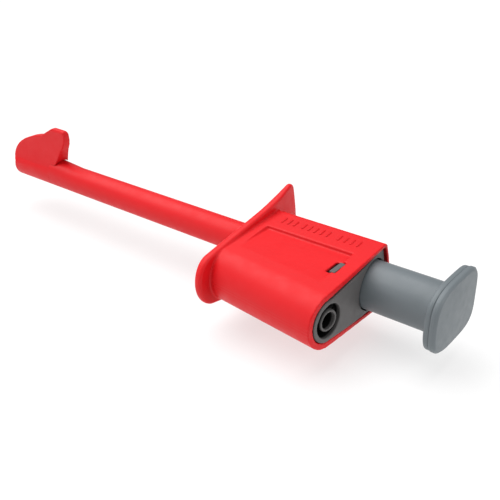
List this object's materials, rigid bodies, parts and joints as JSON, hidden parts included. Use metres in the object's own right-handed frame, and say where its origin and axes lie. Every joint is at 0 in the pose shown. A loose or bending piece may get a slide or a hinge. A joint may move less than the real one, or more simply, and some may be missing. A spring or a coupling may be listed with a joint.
{
  "type": "plunger-operated hook test clip",
  "caption": "Insulated hook test clip: pressing the thumb pad slides a sprung hook out from a long nose; a safety socket sits in the rear of the housing.",
  "frame": {"origin": "centre of the bounding box in X and Y, at its lowest level in Z", "axes": "+X along the plunger, from the hook towards the thumb pad; +Z out of the face with the recessed panel; the socket is on the -Y side"},
  "size_m": [0.1566, 0.0394, 0.0288],
  "materials": {
    "red_plastic": "satin moulded red",
    "grey_plastic": "satin moulded blue-grey",
    "dark_grey_plastic": "satin moulded grey",
    "natural_plastic": "smooth natural white",
    "nickel": "nickel plated",
    "brass": "turned and stamped",
    "spring_steel": "drawn wire"
  },
  "bodies": {
    "clip_body": {"housing": "red_plastic", "rear_insert": "dark_grey_plastic", "nose_tube": "red_plastic", "tip_bush": "nickel", "rear_bush": "brass", "contact_tube": "nickel", "socket_tip_ring": "dark_grey_plastic", "bus_strip": "brass", "bus_nut": "nickel", "wiper_sleeve": "spring_steel", "spring_seat": "nickel", "return_spring": "spring_steel"},
    "plunger_and_hook": {"plunger": "grey_plastic", "thumb_cap": "grey_plastic", "push_rod": "brass", "rod_nut": "nickel", "rod_clip": "spring_steel", "rod_sleeve": "natural_plastic", "hook_core": "nickel", "core_pin": "spring_steel", "hook_cover": "red_plastic"}
  },
  "joints": [
    {"name": "plunger_slide", "type": "slide", "parent": "clip_body", "child": "plunger_and_hook", "axis": [-1, 0, 0], "range_m": [0, 0.0135], "stiffness_N_per_m": 300, "springref_m": -0.012, "deforming": ["return_spring"]}
  ]
}
